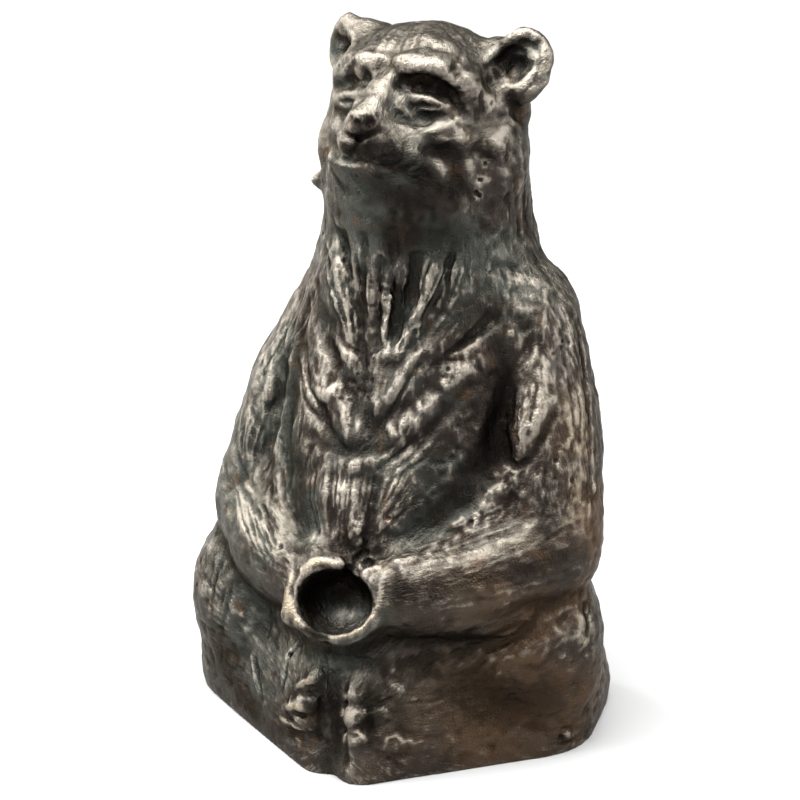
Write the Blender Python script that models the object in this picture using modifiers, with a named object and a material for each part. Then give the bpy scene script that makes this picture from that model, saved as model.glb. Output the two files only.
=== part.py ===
"""Seated bear, cast in one piece. Its forepaws close round an open cup in front of the belly.

The bear faces -Y, +X is its own left side and +Z is up. The origin is on the ground under the body.
The figure is modelled like clay: rounded masses are merged, smoothed and then carved with strokes.
"""
import math

import bmesh
import bpy
import numpy as np
from mathutils import Euler, Matrix, Vector
from mathutils.bvhtree import BVHTree

# Driving sizes, in metres.
HEIGHT = 0.290
CUP_RADIUS = 0.0162
CUP_DEPTH = 0.022
CUP_WALL = 0.0042

# The cup is oval: its height as a share of its width.
CUP_OVAL = 0.8

# The free form is given in units of a 290th of the height.
U = HEIGHT / 290

# Fineness of the clay while it is worked, and the triangles of the finished solid.
VOXEL = 1.7
JOIN_SMOOTHING = 4
BODY_SMOOTHING = 30
TRIANGLES = 9000

# Pose of the head, in degrees, and its centre.
HEAD_CENTRE = (2.5, 5, 260)
HEAD_PITCH = -20
HEAD_ROLL = -3.5
HEAD_YAW = -4

# The cup between the paws: centre of its mouth and how far its axis looks up from level.
CUP_MOUTH = (1.3, -79.5, 77)
CUP_TILT = 32

# The lip of the cup starts beside the gap between the paws and runs round, in degrees.
LIP_START = 92
LIP_SWEEP = 330
LIP_STATIONS = 25

# The cup widens towards its mouth by this share of its radius, and its bottom is rounded by this share.
CUP_FLARE = 0.08
CUP_ROUNDING = 0.8

# The clay reaches this far below the ground before it is cut off flat.
BELOW_GROUND = 6

BRONZE_COLOUR = (0.12, 0.085, 0.06, 1)
BRONZE_ROUGHNESS = 0.38

FRONT = Vector((0, -1, 0))
BACK = Vector((0, 1, 0))

# Points are looked for on the skin from this far outside it.
FAR = 400


def head_frame():
    """Turns points of the level head into their place on the body."""
    turn = Euler([math.radians(a) for a in (HEAD_PITCH, HEAD_ROLL, HEAD_YAW)], "XYZ").to_matrix()
    return Matrix.Translation(Vector(HEAD_CENTRE)) @ turn.to_4x4()


def cup_frame():
    """Turns points of a cup whose mouth is level at the origin into their place between the paws."""
    turn = Euler((math.radians(90 - CUP_TILT), 0, 0)).to_matrix()
    return Matrix.Translation(Vector(CUP_MOUTH)) @ turn.to_4x4()


def ellipsoid(centre, radii, turn=(0, 0, 0)):
    """A rounded mass, as a bmesh of its own."""
    bm = bmesh.new()
    place = (
        Matrix.Translation(Vector(centre))
        @ Euler([math.radians(a) for a in turn]).to_matrix().to_4x4()
        @ Matrix.Diagonal((*radii, 1))
    )
    bmesh.ops.create_uvsphere(bm, u_segments=32, v_segments=20, radius=1, matrix=place)
    return bm


def add(clay, bm, frame):
    """Puts a mass into the clay, in the given frame."""
    mesh = bpy.data.meshes.new("mass")
    bm.transform(frame)
    bm.to_mesh(mesh)
    bm.free()
    clay.from_mesh(mesh)
    bpy.data.meshes.remove(mesh)


def mass(clay, *stations, frame=Matrix()):
    """Adds one ellipsoid, or a limb that runs smoothly through several of them."""
    if len(stations) == 1:
        add(clay, ellipsoid(*stations[0]), frame)
    for first, second in zip(stations, stations[1:]):
        bm = bmesh.new()
        for station in (first, second):
            add(bm, ellipsoid(*station), Matrix())
        made = bmesh.ops.convex_hull(bm, input=bm.verts)
        hull = {g for g in made["geom"] if isinstance(g, bmesh.types.BMVert)}
        spare = [v for v in bm.verts if v not in hull or not v.link_faces]
        bmesh.ops.delete(bm, geom=spare, context="VERTS")
        add(clay, bm, frame)


def pair(clay, *stations, frame=Matrix()):
    """Adds a mass on the bear's left and its mirror image on the right."""
    mass(clay, *stations, frame=frame)
    mirrored = []
    for centre, radii, *turn in stations:
        x, y, z = centre
        tip, lean, swing = turn[0] if turn else (0, 0, 0)
        mirrored.append(((-x, y, z), radii, (tip, -lean, -swing)))
    mass(clay, *mirrored, frame=frame)


def trunk(clay):
    mass(
        clay,
        ((0, 2, 26), (66, 62, 56)),
        ((0, -4, 92), (63, 58, 46)),
        ((0, 7, 138), (59, 54, 40)),
        ((0, 13, 168), (53, 50, 36)),
        ((1, 11, 207), (41, 44, 27)),
        ((1, 7, 240), (41, 42, 24)),
    )
    mass(clay, ((0, 62, 12), (15, 12, 16)))


def legs(clay):
    """Haunches and folded legs, which run forward along the ground until the feet meet."""
    mass(clay, ((36, 18, 34), (34, 42, 48)), ((48, -8, 44), (37, 34, 38)))
    mass(clay, ((-44, 18, 34), (38, 42, 48)), ((-57, -10, 42), (38, 34, 44)))
    mass(clay, ((-62, -7, 28), (33, 32, 20)))
    mass(clay, ((56, -6, 30), (29, 30, 26)))
    mass(clay, ((38, 24, 8), (38, 36, 36)), ((51, -4, 8), (30, 31, 38)), ((9.5, -70, 10), (10.5, 13, 36)))
    mass(clay, ((-46, 24, 8), (38, 36, 36)), ((-64, -5, 12), (31, 31, 36)), ((-8, -68, 10), (10, 12, 36)))
    mass(clay, ((3, -60, 14), (12, 16, 31)), ((2, -52, 50), (26, 18, 22)))


def arms(clay):
    mass(
        clay,
        ((36, 13, 170), (28, 30, 28)),
        ((56, 4, 126), (22, 28, 28)),
        ((62, -8, 86), (22, 26, 26)),
        ((46, -38, 77), (20, 20, 22)),
        ((23, -64, 77), (15, 13, 17)),
    )
    mass(
        clay,
        ((-30, 13, 168), (26, 28, 26)),
        ((-53, 4, 128), (22, 28, 28)),
        ((-62.5, -8, 84), (22.5, 26, 26)),
        ((-42, -38, 77), (20, 20, 22)),
        ((-13, -64, 77), (15, 13, 17)),
    )


def paws(clay):
    """The two paws close into one ring, whose lip stands round the cup."""
    frame = cup_frame()
    lip = CUP_WALL / U
    middle = CUP_RADIUS / U + lip / 2
    outer = middle + lip / 2
    turns = [math.radians(LIP_START + LIP_SWEEP * i / (LIP_STATIONS - 1)) for i in range(LIP_STATIONS)]
    ring = [
        ((middle * math.cos(t), CUP_OVAL * middle * math.sin(t), -lip), (0.7 * lip, 0.7 * lip, lip))
        for t in turns
    ]
    mass(clay, *ring, frame=frame)
    mass(clay, ((-middle - 1, -7, -4), (4, 7, 4.5)), ((-middle, 6, -4), (4.5, 6, 4.5)), frame=frame)
    mass(clay, ((-11, 13.5, -4), (6, 3.5, 4)), ((-2, 15.5, -4), (5, 3.5, 4)), frame=frame)
    mass(clay, ((11, 13, -3), (4.5, 4, 4)), ((17, 8, -4), (3.5, 5, 4.5)), frame=frame)
    mass(
        clay,
        ((0, 0, -12), (outer, outer * CUP_OVAL, 6)),
        ((0, 0, -30), (outer + 4, outer, 14)),
        frame=frame,
    )


def head(clay):
    frame = head_frame()
    mass(clay, ((-2, 6, -2), (39, 43, 32)), frame=frame)
    mass(clay, ((-2, 12, -2), (42, 24, 22)), frame=frame)
    pair(clay, ((14, -14, -18), (17, 18, 15)), ((20, 8, -20), (22, 24, 24)), frame=frame)
    mass(clay, ((0, -13, 10), (28, 20, 13)), frame=frame)
    mass(clay, ((0, -26, -3), (13, 14, 11)), ((0, -40, -12), (9, 9, 7)), frame=frame)
    mass(clay, ((0, -24, -20), (21, 18, 14)), ((0, -42, -21), (13, 9, 9)), frame=frame)
    mass(clay, ((-5, -44, -24), (7.5, 7, 6.5)), frame=frame)
    mass(clay, ((6, -44, -25), (8, 7, 7)), ((11, -35, -24), (8, 8, 7)), frame=frame)
    mass(clay, ((0, -21, -29), (15, 12, 9)), ((0, -31, -30), (10, 7, 5)), frame=frame)
    mass(clay, ((0, -48, -15.5), (7.5, 6, 5)), frame=frame)
    pair(clay, ((8, -32, 9), (9, 6, 4.5)), ((18, -28, 9), (9, 6, 5)), ((27, -19, 3), (7, 7, 6)), frame=frame)
    pair(clay, ((17, -26, -6.5), (8, 6, 5)), frame=frame)
    mass(clay, ((40, 0, 14), (13, 7, 17), (0, 12, 30)), frame=frame)
    mass(clay, ((-38, 0, 16), (12, 7, 17), (0, -22, -30)), frame=frame)
    mass(clay, ((28, 4, 16), (13, 13, 10)), frame=frame)
    mass(clay, ((-29, 3, 19.5), (13, 13, 10)), frame=frame)
    mass(clay, ((-41, -6, 223), (5, 4, 4)))


def make_clay():
    clay = bmesh.new()
    trunk(clay)
    legs(clay)
    arms(clay)
    paws(clay)
    head(clay)
    return clay


class Skin:
    """The skin of the clay. Strokes push its points in or out along their normals."""

    def __init__(self, mesh):
        self.mesh = mesh
        self.points = np.empty(len(mesh.vertices) * 3)
        mesh.vertices.foreach_get("co", self.points)
        self.points = self.points.reshape(-1, 3)
        self.normals = np.empty(len(mesh.vertices) * 3)
        mesh.vertices.foreach_get("normal", self.normals)
        self.normals = self.normals.reshape(-1, 3)
        self.tree = BVHTree.FromPolygons(self.points.tolist(), [tuple(p.vertices) for p in mesh.polygons])
        self.push = np.zeros(len(self.points))

    def seen(self, side, a, b, frame=Matrix()):
        """The point of the skin seen from a side, a across and b up, both in the frame."""
        across = Vector((a, 0, b)) if side.x == 0 else Vector((0, a, b))
        start = frame @ (across + side * FAR)
        aim = frame.to_3x3() @ -side
        hit = self.tree.ray_cast(start, aim)[0]
        return np.array(hit)

    def stroke(self, side, path, width, depth, frame=Matrix()):
        """A groove along the path, or a ridge when the depth is negative. It fades towards both ends."""
        knots = [self.seen(side, a, b, frame) for a, b in path]
        nearest = np.full(len(self.points), np.inf)
        along = np.zeros(len(self.points))
        count = max(len(knots) - 1, 1)
        for i in range(count):
            start = knots[i]
            span = knots[min(i + 1, len(knots) - 1)] - start
            share = np.clip((self.points - start) @ span / max(span @ span, 1e-9), 0, 1)
            gap = np.linalg.norm(self.points - start - share[:, None] * span, axis=1)
            closer = gap < nearest
            nearest[closer] = gap[closer]
            along[closer] = (i + share[closer]) / count
        reach = np.clip(1 - (nearest / width) ** 2, 0, 1) ** 2
        fade = 1 if len(path) == 1 else np.sqrt(np.clip(np.sin(np.pi * (0.08 + 0.84 * along)), 0, 1))
        self.push -= depth * reach * fade

    def done(self):
        """Moves the points by all strokes made so far."""
        moved = self.points + self.normals * self.push[:, None]
        self.mesh.vertices.foreach_set("co", moved.ravel())
        self.mesh.update()


def carve_face(skin):
    frame = head_frame()
    for side in (1, -1):
        skin.stroke(FRONT, [(side * 8, 1), (side * 17, 1), (side * 26, -2)], 4.5, 4.5, frame)
        skin.stroke(FRONT, [(side * 10, -12), (side * 18, -13), (side * 25, -11)], 3.5, 1.8, frame)
        skin.stroke(FRONT, [(side * 10, -5), (side * 17, -4), (side * 24, -5)], 2.5, -0.8, frame)
        skin.stroke(FRONT, [(side * 18, -18), (side * 31, -14)], 6, -1.5, frame)
        skin.stroke(FRONT, [(side * 20, -24), (side * 30, -24)], 6, 2, frame)
        skin.stroke(FRONT, [(side * 15, -31), (side * 23, -32)], 5, -1.5, frame)
        skin.stroke(FRONT, [(side * 3.8, -15)], 2.8, 2, frame)
        skin.stroke(FRONT, [(side * 37, 8), (side * 42, 19)], 11, 10, frame)
        skin.stroke(FRONT, [(side * 37, -7), (side * 38, -20), (side * 37, -34)], 6, -2, frame)
        skin.stroke(FRONT, [(side * 31, -10), (side * 32, -30)], 7, 1.5, frame)
    skin.stroke(FRONT, [(0, 20), (0, 6)], 6, 2, frame)
    skin.stroke(FRONT, [(-33, 1), (-34, -9)], 9, 3, frame)
    skin.stroke(FRONT, [(-13, -30), (-6, -32), (0, -31), (6, -32), (13, -30)], 3, 2, frame)
    skin.stroke(FRONT, [(0, -21), (0, -30)], 2.6, 1.8, frame)
    skin.stroke(FRONT, [(-12, -17), (-8, -21), (0, -22), (8, -21), (12, -17)], 2.6, 1.2, frame)


def carve_chest(skin):
    """The ruff under the chin and the locks that run down the chest into the belly."""
    for path, width, depth in (
        ([(5, 214), (6, 174)], 5, 4),
        ([(-20, 209), (-10, 178), (-1, 152)], 4.5, 3),
        ([(27, 210), (15, 170)], 4.5, 3),
        ([(15, 212), (11, 165)], 4, 2.2),
        ([(-8, 212), (-3, 168)], 4, 2.2),
        ([(-32, 182), (-14, 155), (4, 139), (20, 152), (40, 180)], 7, 2.5),
        ([(-36, 160), (-20, 138), (-8, 128)], 5, 2),
        ([(40, 160), (24, 138), (12, 126)], 5, 2),
        ([(-10, 124), (-8, 100)], 4, 1.2),
        ([(8, 124), (8, 98)], 4, 1.2),
    ):
        skin.stroke(FRONT, path, width, depth)


def carve_arms(skin):
    """The creases where the arms lie against the chest and the belly."""
    skin.stroke(FRONT, [(54, 169), (51, 145), (48, 124), (42, 112)], 10, 4)
    skin.stroke(FRONT, [(42, 112), (34, 106), (18, 98)], 7, 2)
    skin.stroke(FRONT, [(36, 138), (32, 122)], 18, 2.5)
    skin.stroke(FRONT, [(57, 161), (58, 146), (55, 132)], 9, -3)
    skin.stroke(FRONT, [(-50, 144), (-50, 124), (-54, 110)], 8, 5)
    skin.stroke(FRONT, [(-39, 172), (-39, 140), (-40, 120), (-34, 107), (-27, 96), (-16, 89)], 7, 2.5)
    skin.stroke(FRONT, [(-8, 118), (-6, 106)], 20, -3)


def carve_paws_and_feet(skin):
    skin.stroke(FRONT, [(5, 99), (5, 88)], 3.2, 3)
    skin.stroke(FRONT, [(1, 62), (2, 54)], 4, 2)
    skin.stroke(FRONT, [(2.5, 56), (4.5, 32), (6, 9)], 4.5, 5)
    for a, b in ((-10, 40), (-15, 29), (-8, 30), (8, 38), (10, 28), (15, 31), (20, 29), (23, 37)):
        skin.stroke(FRONT, [(a, b)], 5, -2.2)
    skin.stroke(FRONT, [(-18, 20), (-7, 20)], 3.5, -1.8)
    skin.stroke(FRONT, [(10, 19), (23, 23)], 3.5, -1.8)


def carve_back(skin):
    skin.stroke(BACK, [(0, 195), (0, 150), (0, 90)], 9, 2.5)
    skin.stroke(BACK, [(24, 175), (28, 150)], 15, -3)
    skin.stroke(BACK, [(-24, 175), (-28, 150)], 15, -3)
    skin.stroke(BACK, [(12, 22), (26, 56), (44, 74)], 7, 3)
    skin.stroke(BACK, [(-12, 22), (-26, 56), (-44, 74)], 7, 3)


def cut_off(mesh, level):
    """Cuts the mesh off flat at a level and closes it with one face."""
    bm = bmesh.new()
    bm.from_mesh(mesh)
    cut = bmesh.ops.bisect_plane(
        bm,
        geom=bm.verts[:] + bm.edges[:] + bm.faces[:],
        plane_co=(0, 0, level),
        plane_no=(0, 0, -1),
        clear_outer=True,
    )
    rim = [g for g in cut["geom_cut"] if isinstance(g, bmesh.types.BMEdge)]
    bmesh.ops.contextual_create(bm, geom=rim)
    bmesh.ops.triangulate(bm, faces=bm.faces)
    bm.to_mesh(mesh)
    bm.free()


def apply_modifiers(obj):
    """Replaces the object's mesh by the result of its modifiers."""
    graph = bpy.context.evaluated_depsgraph_get()
    made = bpy.data.meshes.new_from_object(obj.evaluated_get(graph))
    obj.modifiers.clear()
    old = obj.data
    obj.data = made
    bpy.data.meshes.remove(old)


def mark_fine_areas(bear):
    """A vertex group that keeps small triangles on the face, the paws and the feet."""
    group = bear.vertex_groups.new(name="fine")
    frame = head_frame()
    areas = (
        (frame @ Vector((0, -34, -8)), 34, 1.0),
        (frame @ Vector((34, 6, 16)), 18, 0.7),
        (frame @ Vector((-34, 6, 16)), 18, 0.7),
        (Vector(CUP_MOUTH), 30, 0.8),
        (Vector((3, -80, 28)), 26, 0.8),
    )
    for vertex in bear.data.vertices:
        weight = 0.0
        for centre, radius, most in areas:
            gap = (vertex.co - centre).length / radius
            weight = max(weight, most * (1 - gap * gap))
        group.add([vertex.index], weight, "REPLACE")


def make_cup_cutter(collection):
    """A round-bottomed plug, which leaves the cup between the paws."""
    radius = CUP_RADIUS
    bm = bmesh.new()
    bmesh.ops.create_cone(
        bm,
        cap_ends=True,
        segments=40,
        radius1=radius * (1 - CUP_FLARE),
        radius2=radius * (1 + CUP_FLARE),
        depth=2 * CUP_DEPTH,
    )
    bottom = [e for e in bm.edges if all(v.co.z < 0 for v in e.verts)]
    rounding = radius * CUP_ROUNDING
    bmesh.ops.bevel(bm, geom=bottom, offset=rounding, segments=8, profile=0.5, affect="EDGES")
    bm.transform(Matrix.Diagonal((1, CUP_OVAL, 1, 1)))
    mesh = bpy.data.meshes.new("cup cutter")
    bm.to_mesh(mesh)
    bm.free()
    cutter = bpy.data.objects.new("cup cutter", mesh)
    place = cup_frame()
    place.translation *= U
    cutter.matrix_world = place
    cutter.hide_render = True
    cutter.display_type = "WIRE"
    collection.objects.link(cutter)
    return cutter


def make_bronze():
    bronze = bpy.data.materials.new("bronze")
    bronze.use_nodes = True
    shader = bronze.node_tree.nodes["Principled BSDF"]
    shader.inputs["Base Color"].default_value = BRONZE_COLOUR
    shader.inputs["Metallic"].default_value = 1
    shader.inputs["Roughness"].default_value = BRONZE_ROUGHNESS
    return bronze


def make_bear(collection, cutters):
    clay = make_clay()
    mesh = bpy.data.meshes.new("bear")
    clay.to_mesh(mesh)
    clay.free()
    bear = bpy.data.objects.new("bear", mesh)
    collection.objects.link(bear)
    remesh = bear.modifiers.new("merge the masses", "REMESH")
    remesh.mode = "VOXEL"
    remesh.voxel_size = VOXEL
    smooth = bear.modifiers.new("smooth the joins", "SMOOTH")
    smooth.iterations = JOIN_SMOOTHING
    apply_modifiers(bear)
    mark_fine_areas(bear)
    relax = bear.modifiers.new("relax the body", "SMOOTH")
    relax.iterations = BODY_SMOOTHING
    relax.vertex_group = "fine"
    relax.invert_vertex_group = True
    apply_modifiers(bear)

    skin = Skin(bear.data)
    carve_face(skin)
    carve_chest(skin)
    carve_arms(skin)
    carve_paws_and_feet(skin)
    carve_back(skin)
    skin.done()

    cut_off(bear.data, -BELOW_GROUND)
    decimate = bear.modifiers.new("fewer triangles", "DECIMATE")
    decimate.ratio = TRIANGLES / len(bear.data.polygons)
    decimate.vertex_group = "fine"
    decimate.invert_vertex_group = True
    decimate.vertex_group_factor = 2
    apply_modifiers(bear)
    cut_off(bear.data, 0)
    bear.data.transform(Matrix.Scale(U, 4))
    bear.data.shade_smooth()
    bear.data.materials.append(make_bronze())

    cup = bear.modifiers.new("cut the cup", "BOOLEAN")
    cup.operation = "DIFFERENCE"
    cup.object = make_cup_cutter(cutters)


def main():
    for obj in list(bpy.data.objects):
        bpy.data.objects.remove(obj)
    collection = bpy.data.collections.new("bear sculpture")
    cutters = bpy.data.collections.new("cutters")
    bpy.context.scene.collection.children.link(collection)
    bpy.context.scene.collection.children.link(cutters)
    make_bear(collection, cutters)


main()
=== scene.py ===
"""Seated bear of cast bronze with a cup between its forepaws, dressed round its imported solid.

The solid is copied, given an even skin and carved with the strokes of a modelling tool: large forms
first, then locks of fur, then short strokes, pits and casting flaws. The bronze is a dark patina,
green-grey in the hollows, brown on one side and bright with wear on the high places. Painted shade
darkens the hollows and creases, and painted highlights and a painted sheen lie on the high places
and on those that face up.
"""
import math
import random

import bmesh
import bpy
import numpy as np
from bpy.props import FloatProperty, FloatVectorProperty, IntProperty, PointerProperty
from mathutils import Matrix, Vector, noise
from mathutils.bvhtree import BVHTree
from mathutils.kdtree import KDTree


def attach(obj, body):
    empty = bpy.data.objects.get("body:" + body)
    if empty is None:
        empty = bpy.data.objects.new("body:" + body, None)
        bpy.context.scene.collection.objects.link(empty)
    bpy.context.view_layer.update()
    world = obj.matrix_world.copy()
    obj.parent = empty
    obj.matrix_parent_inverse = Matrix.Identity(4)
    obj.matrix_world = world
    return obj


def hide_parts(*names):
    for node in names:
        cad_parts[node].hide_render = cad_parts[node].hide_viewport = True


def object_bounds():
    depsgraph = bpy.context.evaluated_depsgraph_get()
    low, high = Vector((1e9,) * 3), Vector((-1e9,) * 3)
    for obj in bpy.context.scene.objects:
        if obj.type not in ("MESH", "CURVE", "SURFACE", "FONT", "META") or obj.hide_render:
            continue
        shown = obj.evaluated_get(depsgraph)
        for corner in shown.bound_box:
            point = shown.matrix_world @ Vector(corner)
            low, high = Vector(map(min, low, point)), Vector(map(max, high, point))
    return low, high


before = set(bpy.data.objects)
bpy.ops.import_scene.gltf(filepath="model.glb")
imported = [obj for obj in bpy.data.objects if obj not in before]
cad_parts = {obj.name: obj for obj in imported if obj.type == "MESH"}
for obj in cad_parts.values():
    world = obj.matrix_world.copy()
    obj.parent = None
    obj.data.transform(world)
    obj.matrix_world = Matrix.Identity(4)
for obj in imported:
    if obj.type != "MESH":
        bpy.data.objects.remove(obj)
CAD_LOW, CAD_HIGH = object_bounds()

bl_info = {
    "name": "Bronze bear",
    "version": (1, 0, 0),
    "blender": (4, 5, 0),
    "location": "View3D > Sidebar > Bear",
    "description": "Carves and patinates a cast bronze bear and sets its stage",
    "category": "Object",
}

# Places on the bear are given in millimetres, or as they are seen in the main view, which is
# VIEW_SIZE across, counted from its upper left corner.
MM = 0.001
VIEW_SIZE = 800
VIEW_TARGET = Vector((-0.0056, -0.0026, 0.134))

# A place just outside the outline is looked for inward, up to this many steps of the view.
NUDGES = 12

# The edges of all strokes waver by this share of their width, over this many millimetres.
WAVER = 0.55
WAVER_SIZE = 3.2

# Points of the skin below this height belong to the flat underside.
BASE = 0.4

# Fur and streaks run from or towards these places.
NOSE = Vector((4, -52, 250))
CUP_MOUTH = Vector((1.3, -79.5, 77))
TOES = Vector((2, -84, 18))

COLOUR = {"size": 4, "min": 0, "max": 1, "subtype": "COLOR"}


class BearSettings(bpy.types.PropertyGroup):
    """Sizes and colours of the casting."""

    skin_step: FloatProperty(
        name="Skin step", description="Distance between the points of the skin while it is carved",
        default=0.0008, min=0.0005, max=0.003, subtype="DISTANCE", unit="LENGTH", precision=5,
    )
    triangles: IntProperty(
        name="Triangles", description="Triangles left in the finished skin",
        default=190000, min=20000, max=199000,
    )
    relief: FloatProperty(
        name="Relief", description="Strength of the strokes that were placed by hand",
        default=1.0, min=0.0, max=1.5, subtype="FACTOR",
    )
    fur_strokes: IntProperty(
        name="Fur strokes", description="Number of short strokes that follow the lie of the fur",
        default=4200, min=0, max=8000,
    )
    fur_length: FloatProperty(
        name="Fur length", description="Typical length of a short stroke",
        default=0.010, min=0.002, max=0.03, subtype="DISTANCE", unit="LENGTH",
    )
    pits: IntProperty(
        name="Casting pits", description="Number of small pits spread over the skin",
        default=160, min=0, max=1000,
    )
    patina: FloatVectorProperty(
        name="Patina", description="Dark brown-black patina of the whole casting",
        default=(0.028, 0.022, 0.018, 1.0), **COLOUR,
    )
    verdigris: FloatVectorProperty(
        name="Verdigris grey", description="Green-grey bloom in the hollows",
        default=(0.046, 0.048, 0.041, 1.0), **COLOUR,
    )
    warm: FloatVectorProperty(
        name="Warm brown", description="Brown patina on the bear's left side and its legs",
        default=(0.066, 0.040, 0.023, 1.0), **COLOUR,
    )
    # Colour of the bright metal: real wear on the high places, and painted highlights where the
    # lights catch the bronze.
    rubbed: FloatVectorProperty(
        name="Rubbed metal", description="Bright metal on the places that hands have rubbed",
        default=(0.33, 0.295, 0.245, 1.0), **COLOUR,
    )
    # Paler metal painted on the places that face up and on the head: a painted sheen of the lights
    # above.
    top_sheen: FloatVectorProperty(
        name="Dusty metal",
        description="Duller metal that shows through on the places that face up",
        default=(0.15, 0.135, 0.11, 1.0), **COLOUR,
    )
    top_sheen_brown: FloatVectorProperty(
        name="Dusty brown metal", description="Duller metal where the patina is brown",
        default=(0.105, 0.080, 0.056, 1.0), **COLOUR,
    )
    # Colour of golden metal: wear on the rim of the cup, and painted golden highlights along the
    # bear's left side, the toes and the face.
    gold: FloatVectorProperty(
        name="Golden metal",
        description="Yellower metal on the rim of the cup and along the left side",
        default=(0.29, 0.235, 0.155, 1.0), **COLOUR,
    )


class StageSettings(bpy.types.PropertyGroup):
    """Camera, floor and lights."""

    azimuth: FloatProperty(
        name="Azimuth", description="Direction of the camera round the bear",
        default=math.radians(25), subtype="ANGLE", unit="ROTATION",
    )
    elevation: FloatProperty(
        name="Elevation", description="Angle of the camera above the horizon",
        default=math.radians(20), subtype="ANGLE", unit="ROTATION",
    )
    distance: FloatProperty(
        name="Distance", description="Distance of the camera from its target",
        default=1.32, min=0.3, max=10, subtype="DISTANCE", unit="LENGTH",
    )
    field: FloatProperty(
        name="Field of view", description="Angle that the camera takes in",
        default=math.radians(14), subtype="ANGLE", unit="ROTATION",
    )
    floor_colour: FloatVectorProperty(
        name="Floor", description="Colour of the floor",
        default=(0.42, 0.42, 0.42, 1.0), **COLOUR,
    )
    floor_glow: FloatProperty(
        name="Floor glow",
        description="Light that the floor gives off, which keeps it pale in shadow",
        default=0.10, min=0, max=2,
    )
    far_glow: FloatProperty(
        name="Far glow",
        description="Light that the floor gives off further away, where the lamps fade",
        default=0.9, min=0, max=3,
    )
    key_power: FloatProperty(
        name="Key light", description="Power of the large light at the upper left",
        default=34.0, min=0, max=500, subtype="POWER", unit="POWER",
    )
    top_power: FloatProperty(
        name="Overhead light", description="Power of the large light above the head",
        default=75.0, min=0, max=500, subtype="POWER", unit="POWER",
    )
    rim_power: FloatProperty(
        name="Rim lights", description="Power of the strip lights at the sides",
        default=10.0, min=0, max=500, subtype="POWER", unit="POWER",
    )
    sky: FloatProperty(
        name="Surround", description="Brightness of the pale surround",
        default=0.30, min=0, max=5,
    )


def camera_place(stage):
    """Where the camera stands and its three axes: right, up and forward."""
    turn, rise = stage.azimuth, stage.elevation
    back = Vector((
        math.sin(turn) * math.cos(rise),
        -math.cos(turn) * math.cos(rise),
        math.sin(rise),
    ))
    right = Vector((math.cos(turn), math.sin(turn), 0))
    up = back.cross(right)
    return VIEW_TARGET + back * stage.distance, right, up, -back


def read_rows(mesh, name):
    """The places or the normals of a mesh, one row for each vertex."""
    rows = np.empty(len(mesh.vertices) * 3, np.float32)
    mesh.vertices.foreach_get(name, rows)
    return rows.reshape(-1, 3)


def move_to(mesh, points):
    mesh.vertices.foreach_set("co", points.astype(np.float32).ravel())
    mesh.update()


def add_object(name, data):
    made = bpy.data.objects.new(name, data)
    bpy.context.scene.collection.objects.link(made)
    return made


def smooth_step(value, low, high):
    share = np.clip((value - low) / (high - low), 0, 1)
    return share * share * (3 - 2 * share)


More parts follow.
